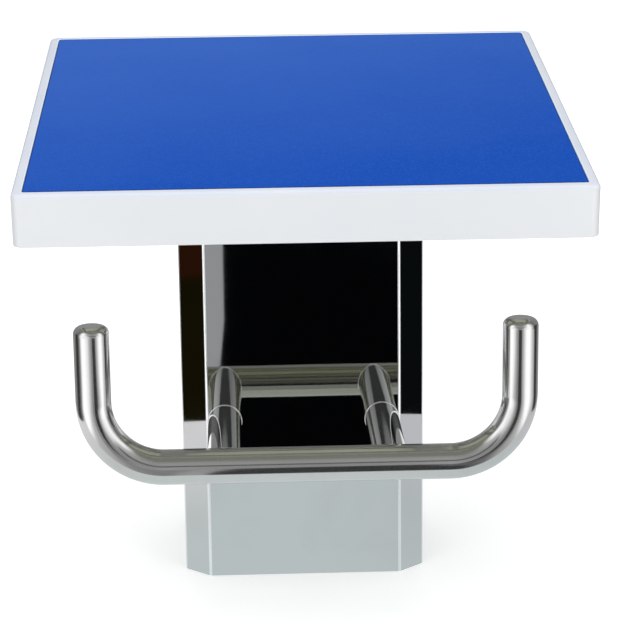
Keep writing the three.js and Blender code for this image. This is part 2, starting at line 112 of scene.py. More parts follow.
def remap(tree, value, low, high, toLow=0.0, toHigh=1.0):
    settings = {"Value": value, "From Min": low, "From Max": high, "To Min": toLow, "To Max": toHigh}
    return add(tree, "MapRange", settings).outputs["Result"]


def noiseOf(tree, place, scale, detail, more=None):
    inputs = {"Vector": place, "Scale": scale, "Detail": detail, **(more or {})}
    return add(tree, "TexNoise", inputs).outputs[0]


def axesOf(tree, place):
    return add(tree, "SeparateXYZ", {0: place}).outputs


def mixColour(tree, factor, first, second):
    return add(tree, "Mix", {0: factor, 6: first, 7: second}, data_type="RGBA").outputs[2]


def rampOf(tree, value, stops):
    node = add(tree, "ValToRGB", {"Fac": value})
    elements = node.color_ramp.elements
    while len(elements) < len(stops):
        elements.new(1.0)
    for element, (place, shade) in zip(elements, stops):
        element.position = place
        element.color = (*shade, 1) if isinstance(shade, tuple) else (shade, shade, shade, 1)
    return node.outputs["Color"]


def newGroup(name, inputs, outputs):
    group = bpy.data.node_groups.new(name, "ShaderNodeTree")
    for label, kind, start in inputs:
        socket = group.interface.new_socket(label, in_out="INPUT", socket_type="NodeSocket" + kind)
        if start is not None:
            socket.default_value = start
    for label in outputs:
        group.interface.new_socket(label, in_out="OUTPUT", socket_type="NodeSocketFloat")
    return group, group.nodes.new("NodeGroupInput").outputs, group.nodes.new("NodeGroupOutput")


def useGroup(tree, group, place, inputs):
    node = tree.nodes.new("ShaderNodeGroup")
    node.node_tree = group
    plug(tree, node, {"Vector": place, **inputs})
    return node.outputs


def sized(tree, group, place, size):  # the first output of a group, with its details this wide
    return useGroup(tree, group, place, {"Size mm": size})[0]


def emptyTree(owner):
    owner.use_nodes = True
    owner.node_tree.nodes.clear()
    return owner.node_tree


def newMaterial(name):
    material = bpy.data.materials.new(name)
    tree = emptyTree(material)
    shader = add(tree, "BsdfPrincipled")
    add(tree, "OutputMaterial", {"Surface": shader.outputs[0]})
    return material, tree, shader, add(tree, "TexCoord").outputs["Object"]


def bumped(tree, height, distance, strength=1.0, under=None):
    inputs = {"Height": height, "Distance": distance, "Strength": strength}
    if under is not None:
        inputs["Normal"] = under
    return add(tree, "Bump", inputs).outputs["Normal"]


# Effects that several materials share. Their sizes are in mm.


def makeGrainEffect():
    group, given, out = newGroup(
        "grain", [("Vector", "Vector", None), ("Size mm", "Float", 1.0)], ["Height", "Speck"]
    )
    grainShare, finer = 0.6, 1.7  # the rest is grit between the grains
    scale = calc(group, "DIVIDE", 1000, given["Size mm"])
    grains = add(group, "TexVoronoi", {"Vector": given["Vector"], "Scale": scale})
    grit = noiseOf(group, given["Vector"], calc(group, "MULTIPLY", scale, finer), 3)
    domes = calc(group, "SUBTRACT", 1.0, grains.outputs["Distance"])
    plug(group, out, {
        "Height": weighed(group, domes, grainShare, grit),
        "Speck": add(group, "SeparateColor", {0: grains.outputs["Color"]}).outputs[0],
    })
    return group


def makeCloudEffect():
    group, given, out = newGroup(
        "clouds", [("Vector", "Vector", None), ("Size mm", "Float", 80.0)], ["Value"]
    )
    scale = calc(group, "DIVIDE", 1000, given["Size mm"])
    noise = noiseOf(group, given["Vector"], scale, 4, {"Roughness": 0.55})
    plug(group, out, {"Value": remap(group, noise, 0.32, 0.68)})
    return group


def makeWaveEffect():
    group, given, out = newGroup(
        "sheetWaves", [("Vector", "Vector", None), ("Size mm", "Float", 60.0)], ["Height"]
    )
    scale = calc(group, "DIVIDE", 1000, given["Size mm"])
    plug(group, out, {"Height": noiseOf(group, given["Vector"], scale, 1, {"Roughness": 0.4})})
    return group


def makeMarkEffect():
    group, given, out = newGroup(
        "polishMarks",
        [("Vector", "Vector", None), ("Along", "Vector", (6, 6, 900))],
        ["Smudge", "Lines"],
    )
    smudge = noiseOf(group, given["Vector"], 14, 5, {"Distortion": 0.7})
    both = {0: given["Vector"], 1: given["Along"]}
    stretched = add(group, "VectorMath", both, operation="MULTIPLY")
    lines = noiseOf(group, stretched.outputs[0], 1, 4, {"Roughness": 0.7})
    plug(group, out, {
        "Smudge": remap(group, smudge, 0.48, 0.75),
        "Lines": remap(group, lines, 0.35, 0.65),
    })
    return group


def makeCornerEffect():
    group, given, out = newGroup(
        "cornerDustAndShade", [("Vector", "Vector", None), ("Reach", "Float", 0.012)], ["Mask"]
    )
    # painted shade where the surface is enclosed, broken into patches like dust
    openness = add(group, "AmbientOcclusion", {"Distance": given["Reach"]}, samples=6).outputs["AO"]
    patches = remap(group, noiseOf(group, given["Vector"], 60, 3), 0.3, 0.6)
    closed = remap(group, openness, 0.85, 0.35)
    plug(group, out, {"Mask": calc(group, "MULTIPLY", closed, patches)})
    return group


grain, clouds, sheetWaves = makeGrainEffect(), makeCloudEffect(), makeWaveEffect()
polishMarks, cornerDustAndShade = makeMarkEffect(), makeCornerEffect()
print("shared effects made")


def wavy(tree, place, finish):
    return bumped(tree, sized(tree, sheetWaves, place, finish["waveSize"]), finish["waveDepth"])


def grained(tree, place, finish, under=None):
    height = sized(tree, grain, place, finish["grainSize"])
    return bumped(tree, height, finish["grainDepth"], finish["grainStrength"], under)


# darkens towards the given colour: dust and painted shade in hollows and corners
def dustedAndShaded(tree, place, colour, finish):
    mask = useGroup(tree, cornerDustAndShade, place, {"Reach": finish["shadeReach"]})["Mask"]
    share = calc(tree, "MULTIPLY", mask, finish["dustAndShadeShare"])
    return mixColour(tree, share, colour, finish["dustAndShade"])


# Materials. The sizes of clouds, waves and grain are in mm, their depths in metres. Polish is how
# fine the polishing marks are along each axis.

gelcoat = {
    "dark": (0.780, 0.796, 0.820, 1),
    "light": (0.800, 0.814, 0.833, 1),
    "rimDark": (0.690, 0.735, 0.830, 1),  # the flat rim, with a painted reflection of the blue surface
    "rimLight": (0.745, 0.775, 0.850, 1),
    "lip": (0.82, 0.93, 1.0, 1),  # the lip round the blue surface, a bluish painted highlight
    "dustAndShade": (0.60, 0.61, 0.61, 1),
    "shadeReach": 6 * mm,
    "dustAndShadeShare": 0.15,
    "roughness": (0.29, 0.325),
    "specular": 0.5,
    "polish": (8, 8, 120),
    "cloudSize": 90,
    "waveSize": 70,
    "waveDepth": 0.06 * mm,
    "grainSize": 2.5,
    "grainDepth": 0.01 * mm,
    "grainStrength": 0.6,
}


def makeWhiteGelcoat(name, dark, light):
    material, tree, shader, place = newMaterial(name)
    cloud = sized(tree, clouds, place, gelcoat["cloudSize"])
    marks = useGroup(tree, polishMarks, place, {"Along": gelcoat["polish"]})
    plug(tree, shader, {
        "Base Color": dustedAndShaded(tree, place, mixColour(tree, cloud, dark, light), gelcoat),
        "Roughness": remap(tree, marks["Smudge"], 0, 1, *gelcoat["roughness"]),
        "Specular IOR Level": gelcoat["specular"],
        "Normal": grained(tree, place, gelcoat, wavy(tree, place, gelcoat)),
    })
    return material


laminate = {
    "resin": (0.54, 0.56, 0.44, 1),
    "strand": (0.68, 0.70, 0.60, 1),
    "dustAndShade": (0.3, 0.29, 0.24, 1),
    "shadeReach": 20 * mm,
    "dustAndShadeShare": 0.5,
    "strandScale": (700, 45, 300),
    "strandTurns": (0.4, 1.6, 2.7),  # three directions of chopped strands
    "strandEdges": (0.5, 0.72),
    "strandDepth": 0.35 * mm,
    "strandStrength": 0.8,
    "roughness": (0.34, 0.6),
}


def makeRawLaminate():
    material, tree, shader, place = newMaterial("rawLaminate")
    layers = []
    for angle in laminate["strandTurns"]:
        turn = {"Vector": place, "Rotation": (0, 0, angle), "Scale": laminate["strandScale"]}
        layers.append(noiseOf(tree, add(tree, "Mapping", turn).outputs[0], 1, 2))
    highest = calc(tree, "MAXIMUM", calc(tree, "MAXIMUM", layers[0], layers[1]), layers[2])
    strands = remap(tree, highest, *laminate["strandEdges"])
    colour = mixColour(tree, strands, laminate["resin"], laminate["strand"])
    plug(tree, shader, {
        "Base Color": dustedAndShaded(tree, place, colour, laminate),
        "Roughness": remap(tree, strands, 0, 1, *laminate["roughness"]),
        "Normal": bumped(tree, strands, laminate["strandDepth"], laminate["strandStrength"]),
    })
    return material


board = {
    "pale": (0.76, 0.78, 0.60, 1),
    "dull": (0.64, 0.66, 0.50, 1),
    "cloudSize": 70,
    "roughness": (0.38, 0.55),
    "weaveScale": 15.625,  # 20 mm between the strands of the glass cloth
    "weaveUneven": 0.6,
    "weaveDepth": 0.12 * mm,
    "weaveStrength": 0.5,
}


def makeSealedBoard():
    material, tree, shader, place = newMaterial("sealedBoard")
    threads = []
    for direction in ("X", "Y"):
        inputs = {"Vector": place, "Scale": board["weaveScale"], "Distortion": board["weaveUneven"]}
        threads.append(add(tree, "TexWave", inputs, bands_direction=direction).outputs["Fac"])
    weave = calc(tree, "MAXIMUM", threads[0], threads[1])
    cloud = sized(tree, clouds, place, board["cloudSize"])
    plug(tree, shader, {
        "Base Color": mixColour(tree, cloud, board["dull"], board["pale"]),
        "Roughness": remap(tree, cloud, 0, 1, *board["roughness"]),
        "Normal": bumped(tree, weave, board["weaveDepth"], board["weaveStrength"]),
    })
    return material


antislip = {
    "frontLeastSheen": (0.0045, 0.071, 0.430, 1),  # the front, with the least painted sheen
    "rearPaintedSheen": (0.033, 0.119, 0.495, 1),  # the rear, paler with painted sheen
    "cut": (0.001, 0.022, 0.16, 1),  # the sheet's cut edges, darkened as painted shade in the groove
    "frontToRear": (-0.29, 0.19),
    "paintedLightLeftward": 0.8,  # painted light from the left: paler to the left by this share per metre
    "mottle": 0.24,
    "mottleSizes": (130, 9),
    "broadShare": 0.65,  # of the broad mottle, the rest is the small one
    "speck": (0.040, 0.130, 0.530, 1),
    "speckFrom": 0.78,
    "speckShare": 0.5,
    "grainSize": 0.9,
    "grainDepth": 0.22 * mm,
    "grainStrength": 0.55,
    "roughness": (0.62, 0.8),
    "specular": 0.04,
}


def makeBlueAntislip(name, frontLeastSheen, rearPaintedSheen):
    material, tree, shader, place = newMaterial(name)
    broad, small = [sized(tree, clouds, place, size) for size in antislip["mottleSizes"]]
    grit = useGroup(tree, grain, place, {"Size mm": antislip["grainSize"]})
    axes = axesOf(tree, place)
    # painted sheen, paler towards the rear, and painted light, paler to the left
    paintedLightLeftward = calc(tree, "MULTIPLY", axes["X"], antislip["paintedLightLeftward"])
    sheenAndLeftLight = calc(tree, "SUBTRACT", remap(tree, axes["Y"], *antislip["frontToRear"]), paintedLightLeftward)
    tone = calc(tree, "SUBTRACT", weighed(tree, broad, antislip["broadShare"], small), 0.5)
    uneven = calc(tree, "MULTIPLY", tone, antislip["mottle"])
    colour = mixColour(tree, calc(tree, "ADD", sheenAndLeftLight, uneven), frontLeastSheen, rearPaintedSheen)
    bright = remap(tree, grit["Speck"], antislip["speckFrom"], 1.0, 0.0, antislip["speckShare"])
    plug(tree, shader, {
        "Base Color": mixColour(tree, bright, colour, antislip["speck"]),
        "Roughness": remap(tree, grit["Height"], 0.2, 0.8, *antislip["roughness"]),
        "Specular IOR Level": antislip["specular"],
        "Normal": bumped(tree, grit["Height"], antislip["grainDepth"], antislip["grainStrength"]),
    })
    return material


smudgeShare = 0.7  # of the smudges in a polished surface's wear, the rest is lines

mirror = {
    "colour": (0.620, 0.634, 0.645, 1),
    "smudged": (0.585, 0.595, 0.600, 1),
    "roughness": (0.018, 0.055),
    "polish": (4, 4, 700),
    "waveSize": 75,
    "waveDepth": 0.04 * mm,
}
satin = {
    "colour": (0.520, 0.530, 0.538, 1),
    "smudged": (0.470, 0.478, 0.482, 1),
    "roughness": (0.15, 0.24),
    "polish": (4, 4, 1100),
    "waveSize": 60,
    "waveDepth": 0.03 * mm,
}


def makeSheetSteel(name, finish):
    material, tree, shader, place = newMaterial(name)
    marks = useGroup(tree, polishMarks, place, {"Along": finish["polish"]})
    smudges = calc(tree, "MULTIPLY", marks["Smudge"], smudgeShare)
    worn = weighed(tree, marks["Smudge"], smudgeShare, marks["Lines"])
    plug(tree, shader, {
        "Base Color": mixColour(tree, smudges, finish["colour"], finish["smudged"]),
        "Metallic": 1.0,
        "Roughness": remap(tree, worn, 0, 1, *finish["roughness"]),
        "Normal": wavy(tree, place, finish),
    })
    return material


foldHighlightFinish = {  # the folds are coloured brighter as a painted highlight
    "worn": (0.80, 0.81, 0.815, 1),
    "bright": (0.92, 0.93, 0.935, 1),
    "roughness": (0.16, 0.28),
    "polish": (300, 300, 12),
    "lineDepth": 0.01 * mm,
    "lineStrength": 0.4,
}


def makeFoldHighlightSteel():
    material, tree, shader, place = newMaterial("foldHighlightSteel")
    marks = useGroup(tree, polishMarks, place, {"Along": foldHighlightFinish["polish"]})
    plug(tree, shader, {
        "Base Color": mixColour(tree, marks["Lines"], foldHighlightFinish["worn"], foldHighlightFinish["bright"]),
        "Metallic": 1.0,
        "Roughness": remap(tree, marks["Lines"], 0, 1, *foldHighlightFinish["roughness"]),
        "Normal": bumped(tree, marks["Lines"], foldHighlightFinish["lineDepth"], foldHighlightFinish["lineStrength"]),
    })
    return material


tubeFinish = {
    "colour": (0.654, 0.657, 0.650, 1),
    "smudged": (0.604, 0.608, 0.601, 1),
    # painted shade for the bar's back, towards the column
    "back": (0.455, 0.438, 0.362, 1),
    "metal": 0.945,  # the rest is the haze of fine scratches
    "roughness": (0.10, 0.14),
}
# a darker copy of the tube steel for the standoffs: painted shade
shadedTubeFinish = {
    "colour": (0.510, 0.516, 0.508, 1),
    "smudged": (0.450, 0.458, 0.450, 1),
    "back": (0.510, 0.516, 0.508, 1),
    "metal": 0.99,
    "roughness": (0.04, 0.08),
}
tubeSurface = {
    "polish": (40, 40, 40),
    "grainSize": 0.7,
    "grainDepth": 0.002 * mm,
    "grainStrength": 0.5,
    "waveSize": 22,
    "waveDepth": 0.04 * mm,
}
# The bar's middle is painted darker and warmer on its side towards the column, as painted shade:
# where that starts, and is full
shadedBack = {"y": (-240.5 * mm, -229 * mm), "across": (135 * mm, 105 * mm)}


def makePolishedSteel(name, finish):
    material, tree, shader, place = newMaterial(name)
    marks = useGroup(tree, polishMarks, place, {"Along": tubeSurface["polish"]})
    worn = weighed(tree, marks["Smudge"], smudgeShare, marks["Lines"])
    colour = mixColour(tree, worn, finish["colour"], finish["smudged"])
    axes = axesOf(tree, place)
    middle = remap(tree, calc(tree, "ABSOLUTE", axes["X"]), *shadedBack["across"])
    # painted shade on the bar's back, towards the column
    behind = calc(tree, "MULTIPLY", middle, remap(tree, axes["Y"], *shadedBack["y"]))
    plug(tree, shader, {
        "Base Color": mixColour(tree, behind, colour, finish["back"]),
        "Metallic": finish["metal"],
        "Roughness": remap(tree, worn, 0, 1, *finish["roughness"]),
        "Normal": grained(tree, place, tubeSurface, wavy(tree, place, tubeSurface)),
    })
    return material


millFinish = {
    "dark": (0.32, 0.31, 0.275, 1),
    "light": (0.42, 0.41, 0.37, 1),
    "dustAndShade": (0.16, 0.15, 0.13, 1),
    "shadeReach": 8 * mm,
    "dustAndShadeShare": 0.5,
    "polish": (25, 25, 900),
    "cloudSize": 35,
    "roughness": (0.34, 0.5),
    "lineDepth": 0.02 * mm,
    "lineStrength": 0.6,
}


def makeMillSteel(finish=millFinish):
    material, tree, shader, place = newMaterial("millSteel")
    marks = useGroup(tree, polishMarks, place, {"Along": finish["polish"]})
    cloud = sized(tree, clouds, place, finish["cloudSize"])
    colour = mixColour(tree, cloud, finish["dark"], finish["light"])
    plug(tree, shader, {
        "Base Color": dustedAndShaded(tree, place, colour, finish),
        "Metallic": 1.0,
        "Roughness": remap(tree, marks["Lines"], 0, 1, *finish["roughness"]),
        "Normal": bumped(tree, marks["Lines"], finish["lineDepth"], finish["lineStrength"]),
    })
    return material


# the welds are coloured brighter as a painted highlight
weldHighlightFinish = {
    "dull": (0.86, 0.87, 0.87, 1),
    "bright": (0.96, 0.96, 0.96, 1),
    "metal": 0.86,
    "cloudSize": 5,
    "roughness": (0.08, 0.2),
    "rippleSize": 1.3,
    "rippleDepth": 0.25 * mm,
    "rippleStrength": 0.8,
}


def makeWeldHighlightSteel(finish=weldHighlightFinish):
    material, tree, shader, place = newMaterial("weldHighlightSteel")
    ripples = useGroup(tree, grain, place, {"Size mm": finish["rippleSize"]})
    cloud = sized(tree, clouds, place, finish["cloudSize"])
    plug(tree, shader, {
        "Base Color": mixColour(tree, cloud, finish["dull"], finish["bright"]),
        "Metallic": finish["metal"],
        "Roughness": remap(tree, ripples["Speck"], 0, 1, *finish["roughness"]),
        "Normal": bumped(tree, ripples["Height"], finish["rippleDepth"], finish["rippleStrength"]),
    })
    return material


fastenerFinish = {
    "dark": (0.46, 0.48, 0.49, 1),
    "light": (0.55, 0.57, 0.575, 1),
    "dustAndShade": (0.12, 0.115, 0.10, 1),
    "shadeReach": 3 * mm,
    "dustAndShadeShare": 0.6,
    "metal": 1.0,
    "cloudSize": 4,
    "roughness": (0.24, 0.38),
    "grainSize": 0.5,
    "grainDepth": 0.01 * mm,
    "grainStrength": 0.5,
}
rubberFinish = {
    "dark": (0.007, 0.008, 0.009, 1),
    "light": (0.014, 0.015, 0.016, 1),
    "metal": 0.0,
    "cloudSize": 12,
    "roughness": (0.7, 0.88),
    "grainSize": 0.6,
    "grainDepth": 0.08 * mm,
    "grainStrength": 0.6,
}


def makeGrainedFinish(name, finish):
    material, tree, shader, place = newMaterial(name)
    cloud = sized(tree, clouds, place, finish["cloudSize"])
    colour = mixColour(tree, cloud, finish["dark"], finish["light"])
    plug(tree, shader, {
        "Base Color": dustedAndShaded(tree, place, colour, finish) if "dustAndShade" in finish else colour,
        "Metallic": finish["metal"],
        "Roughness": remap(tree, cloud, 0, 1, *finish["roughness"]),
        "Normal": grained(tree, place, finish),
    })
    return material


whiteGelcoat = makeWhiteGelcoat("whiteGelcoat", gelcoat["dark"], gelcoat["light"])
gelcoatRimBlueReflection = makeWhiteGelcoat("gelcoatRimBlueReflection", gelcoat["rimDark"], gelcoat["rimLight"])
gelcoatLipHighlight = makeWhiteGelcoat("gelcoatLipHighlight", gelcoat["lip"], gelcoat["lip"])
rawLaminate, sealedBoard = makeRawLaminate(), makeSealedBoard()
blueAntislip = makeBlueAntislip("blueAntislip", antislip["frontLeastSheen"], antislip["rearPaintedSheen"])
blueEdgeShade = makeBlueAntislip("blueEdgeShade", antislip["cut"], antislip["cut"])
mirrorSteel, coverSteel = makeSheetSteel("mirrorSteel", mirror), makeSheetSteel("coverSteel", satin)
foldHighlightSteel, millSteel = makeFoldHighlightSteel(), makeMillSteel()
polishedSteel = makePolishedSteel("polishedSteel", tubeFinish)
standoffSteel = makePolishedSteel("standoffSteel", shadedTubeFinish)
fastenerSteel, weldHighlightSteel = makeGrainedFinish("fastenerSteel", fastenerFinish), makeWeldHighlightSteel()
blackRubber = makeGrainedFinish("blackRubber", rubberFinish)
finishOf = {
    "white_gelcoat": whiteGelcoat,
    "blue_antislip": blueAntislip,
    "core_board": sealedBoard,
    "mirror_steel": mirrorSteel,
    "polished_steel": polishedSteel,
    "mill_steel": millSteel,
    "zinc_steel": fastenerSteel,
    "black_rubber": blackRubber,
}
for part in frame["record"]["subparts"]:
    for holder in frame["nodes"][part["node"]].material_slots:
        holder.material = finishOf[part["material_slot"]]
print("materials made")


# Small helpers for meshes

sides, ends = (("left", -1), ("right", 1)), (("front", -1), ("rear", 1))
nearest = 1e-6  # metres, under which two points count as one
softFrom = math.radians(50)  # edges that turn less than this aren't softened
platformTop = next(m for m in frame["record"]["mounts"] if m["name"] == "platform_top")
slopeOut = Vector(platformTop["axis"])
slope = at(platformTop["pos_m"]) @ Matrix.Rotation(
    math.atan2(-slopeOut.y, slopeOut.z), 4, "X"
)  # x across, y up the slope, z out of it, from the middle of the platform's top


def finishPiece(bm, name, materials, replaced=(), sharp=40):
    mesh = bpy.data.meshes.new(name)
    bm.to_mesh(mesh)
    bm.free()
    for material in materials:
        mesh.materials.append(material)
    mesh.shade_smooth()
    mesh.set_sharp_from_angle(angle=math.radians(sharp))
    piece = bpy.data.objects.new(name, mesh)
    bpy.context.scene.collection.objects.link(piece)
    weighted = piece.modifiers.new("flatFaces", "WEIGHTED_NORMAL")
    weighted.keep_sharp = True
    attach(piece, "root")
    if replaced:
        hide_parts(*replaced)
    return piece


def finishNode(bm, node, material):  # a piece that stands for one node and has its name
    finishPiece(bm, node.replace("_", "-"), [material], [node])


def pick(geometry, kind):
    return [item for item in geometry if isinstance(item, kind)]


def shift(bm, verts, move):
    bmesh.ops.translate(bm, vec=move, verts=verts)


def place(bm, matrix):
    bmesh.ops.transform(bm, matrix=matrix, verts=bm.verts)


def circleOf(bm, radius, count):
    return bmesh.ops.create_circle(bm, segments=count, radius=radius)["verts"]


def roundedFace(bm, width, depth, radius, height, steps=8):
    verts = bmesh.ops.create_grid(bm, x_segments=1, y_segments=1, size=0.5)["verts"]
    bmesh.ops.scale(bm, vec=(width, depth, 1), verts=verts)
    shift(bm, verts, (0, 0, height))
    if radius:
        verts = bmesh.ops.bevel(
            bm, geom=verts, offset=radius, segments=steps, profile=0.5, affect="VERTICES", material=-1
        )["verts"]
    return verts[0].link_faces[0]


def extruded(bm, face, move):
    made = bmesh.ops.extrude_face_region(bm, geom=[face] + list(face.edges))["geom"]
    shift(bm, pick(made, BMVert), move)
    return pick(made, BMFace)[0]


def openEdges(bm, face):
    edges = list(face.edges)
    bmesh.ops.delete(bm, geom=[face], context="FACES_ONLY")
    return edges


def outwards(bm):
    bmesh.ops.remove_doubles(bm, verts=bm.verts, dist=nearest)
    bmesh.ops.recalc_face_normals(bm, faces=bm.faces)


def rounded(bm, edges, width, steps):
    return bmesh.ops.bevel(
        bm, geom=list(edges), offset=width, segments=steps, profile=0.5, affect="EDGES", material=-1
    )["faces"]


def soften(bm, width, steps=2):
    outwards(bm)
    outer = [edge for edge in bm.edges if edge.is_manifold and edge.is_convex]
    rounded(bm, [edge for edge in outer if edge.calc_face_angle(0) > softFrom], width, steps)


def plate(bm, width, depth, low, sizes, steps=3):
    sheet = roundedFace(bm, width, depth, sizes["corner"], low)
    extruded(bm, sheet, (0, 0, sizes["thickness"]))
    soften(bm, sizes["edgeRound"], steps)
    outwards(bm)


def openTube(bm, section, length):  # the walls alone
    end = extruded(bm, section, (0, 0, length))
    openEdges(bm, end)
    openEdges(bm, section)
    outwards(bm)


def thicken(bm, wall):
    bmesh.ops.solidify(bm, geom=bm.faces[:], thickness=wall)
    outwards(bm)


# Platform

shellSizes = {
    "side": 500 * mm,
    "skirt": 47 * mm,
    "corner": 9 * mm,
    "topRound": 4 * mm,
    "topSteps": 6,
    "laminate": 4 * mm,
    "rim": 9.5 * mm,
    "rimReach": 0.7,  # the share of the top's rounding that looks like the flat rim
    "rimFacing": 0.1,  # and the least that its faces look up
    "recess": 3.3 * mm,
    "recessCorner": 2.8 * mm,
    "lipRound": 1.0 * mm,
    "lipSteps": 4,
    "lipMargin": 0.1 * mm,
    "edgeRound": 0.5 * mm,
    "edgeSteps": 3,
}


def makePlatformShell(sizes=shellSizes):
    bm = bmesh.new()
    finishes = [whiteGelcoat, rawLaminate, gelcoatLipHighlight, gelcoatRimBlueReflection]
    side, skirt, wall = sizes["side"], sizes["skirt"], sizes["laminate"]
    bottom = roundedFace(bm, side, side, sizes["corner"], -skirt)
    rounded(bm, extruded(bm, bottom, (0, 0, skirt)).edges, sizes["topRound"], sizes["topSteps"])
    top = max(bm.faces, key=lambda face: face.calc_center_median().z)
    topLoop = openEdges(bm, top)
    inner = side - 2 * sizes["rim"]
    recess = roundedFace(bm, inner, inner, sizes["recessCorner"], 0)
    extruded(bm, recess, (0, 0, -sizes["recess"]))
    bmesh.ops.bridge_loops(bm, edges=topLoop + openEdges(bm, recess))
    outwards(bm)
    bottom = min(bm.faces, key=lambda face: face.calc_center_median().z)
    bmesh.ops.inset_region(bm, faces=[bottom], thickness=wall, use_even_offset=True)
    inside = extruded(bm, bottom, (0, 0, skirt - sizes["recess"] - wall))
    for face in {face for edge in inside.edges for face in edge.link_faces}:
        face.material_index = finishes.index(rawLaminate)
    outwards(bm)
    within = inner / 2 + sizes["lipMargin"]
    onTop = [vert for vert in bm.verts if abs(vert.co.z) < nearest]
    lipVerts = {vert for vert in onTop if max(map(abs, vert.co.xy)) < within}
    lip = [edge for edge in bm.edges if lipVerts.issuperset(edge.verts)]
    lipFaces = rounded(bm, lip, sizes["lipRound"], sizes["lipSteps"])
    lowest = -sizes["rimReach"] * sizes["topRound"]
    # the rim's faces that look up take the painted reflection of the blue
    for face in bm.faces:
        face.normal_update()
        if face.normal.z > sizes["rimFacing"] and face.calc_center_median().z > lowest:
            face.material_index = finishes.index(gelcoatRimBlueReflection)
    # the lip's faces take the painted highlight
    for face in lipFaces:
        face.material_index = finishes.index(gelcoatLipHighlight)
    soften(bm, sizes["edgeRound"], sizes["edgeSteps"])
    outwards(bm)
    place(bm, slope)
    finishPiece(bm, "platformShell", finishes, ["platform_shell"])


surfaceSizes = {
    "side": 480.4 * mm,
    "corner": 2.5 * mm,
    "thickness": 3 * mm,
    "edgeRound": 0.7 * mm,
    "flat": 0.999,  # faces that look up less than this are cut edges, which take painted shade
}


def makeAntislipSurface(sizes=surfaceSizes):
    bm = bmesh.new()
    finishes = [blueAntislip, blueEdgeShade]
    plate(bm, sizes["side"], sizes["side"], -sizes["thickness"], sizes)
    for face in bm.faces:
        # the edges take the painted shade
        if face.normal.z < sizes["flat"]:
            face.material_index = finishes.index(blueEdgeShade)
    place(bm, slope)
    finishPiece(bm, "antislipSurface", finishes, ["antislip_surface"])


railSizes = {
    "width": 30 * mm,
    "height": 20 * mm,
    "wall": 2 * mm,
    "corner": 3 * mm,
    "cornerSteps": 5,
    "low": -37.9 * mm,
    "crossLength": 440 * mm,
    "crossPlace": 205 * mm,
    "sideLength": 379.4 * mm,
    "sidePlace": 130 * mm,
}


def makeRails(sizes=railSizes):
    middle = sizes["low"] + sizes["height"] / 2
    across = Matrix.Rotation(turn90, 4, "Y")
    along = Matrix.Rotation(turn90, 4, "Z") @ across
    rails = []
    for name, end in ends:
        spot = (0, end * sizes["crossPlace"], middle)
        rails.append((f"{name}_cross_rail", sizes["crossLength"], spot, across))
    for name, side in sides:
        spot = (side * sizes["sidePlace"], 0, middle)
        rails.append((f"{name}_side_rail", sizes["sideLength"], spot, along))
    height, width, corner, steps = [sizes[k] for k in ("height", "width", "corner", "cornerSteps")]
    for node, length, spot, turn in rails:
        bm = bmesh.new()
        section = roundedFace(bm, height, width, corner, -length / 2, steps)
        openTube(bm, section, length)
        thicken(bm, sizes["wall"])
        place(bm, slope @ at(spot) @ turn)
        finishNode(bm, node, millSteel)


headPlateSizes = {
    "width": 310 * mm,
    "depth": 224 * mm,
    "corner": 12 * mm,
    "middle": 45.58 * mm,
    "low": -46.2 * mm,
    "thickness": 8 * mm,
    "edgeRound": 0.8 * mm,
}


def makeHeadPlate(sizes=headPlateSizes):
    bm = bmesh.new()
    plate(bm, sizes["width"], sizes["depth"], sizes["low"], sizes, 2)
    place(bm, slope @ at((0, sizes["middle"], 0)))
    finishPiece(bm, "headPlate", [millSteel], ["head_plate"])


makePlatformShell()
makeAntislipSurface()
makeRails()
makeHeadPlate()
print("platform made")


# Column

columnSizes = {
    "width": 232 * mm,
    "depth": 200 * mm,
    "height": 450 * mm,  # before the top is cut off along the slope
    "chamferAcross": 24 * mm,
    "chamferAlong": 22 * mm,
    "foldRound": 1.65 * mm,
    "foldSteps": 6,
    "wall": 2 * mm,
    "topLevel": -46.5 * mm,  # in the slope
    "accessWidth": 116 * mm,
    "accessHeight": 160 * mm,
    "accessCorner": 10 * mm,
    "accessPlace": 156 * mm,
}


def makeColumn(sizes=columnSizes):
    bm = bmesh.new()
    finishes = [mirrorSteel, foldHighlightSteel]
    squeeze = sizes["chamferAcross"] / sizes["chamferAlong"]
    section = roundedFace(bm, sizes["width"], sizes["depth"] * squeeze, sizes["chamferAcross"], 0, 1)
    bmesh.ops.scale(bm, vec=(1, 1 / squeeze, 1), verts=bm.verts)
    openTube(bm, section, sizes["height"])
    folds = [edge for edge in bm.edges if edge.is_manifold]
    # the folds take the painted highlight
    for face in rounded(bm, folds, sizes["foldRound"], sizes["foldSteps"]):
        face.material_index = finishes.index(foldHighlightSteel)
    bmesh.ops.bisect_plane(
        bm,
        geom=bm.verts[:] + bm.edges[:] + bm.faces[:],
        plane_co=slope @ Vector((0, 0, sizes["topLevel"])),
        plane_no=slopeOut,
        clear_outer=True,
    )
    back = max(bm.faces, key=lambda face: face.calc_center_median().y)
    backLoop = openEdges(bm, back)
    hole = roundedFace(bm, sizes["accessWidth"], sizes["accessHeight"], sizes["accessCorner"], 0)
    onBack = at((0, sizes["depth"] / 2, sizes["accessPlace"]))
    bmesh.ops.transform(bm, matrix=onBack @ tilted, verts=hole.verts)
    loops = backLoop + openEdges(bm, hole)
    bmesh.ops.triangle_fill(bm, edges=loops, use_beauty=True, normal=(0, 1, 0))
    outwards(bm)
    thicken(bm, sizes["wall"])
    finishPiece(bm, "columnShell", finishes, ["column_shell"])


coverSizes = {
    "width": 148 * mm,
    "height": 192 * mm,
    "corner": 8 * mm,
    "thickness": 2 * mm,
    "edgeRound": 0.5 * mm,
    "front": 102.1 * mm,
    "middle": 156 * mm,
}


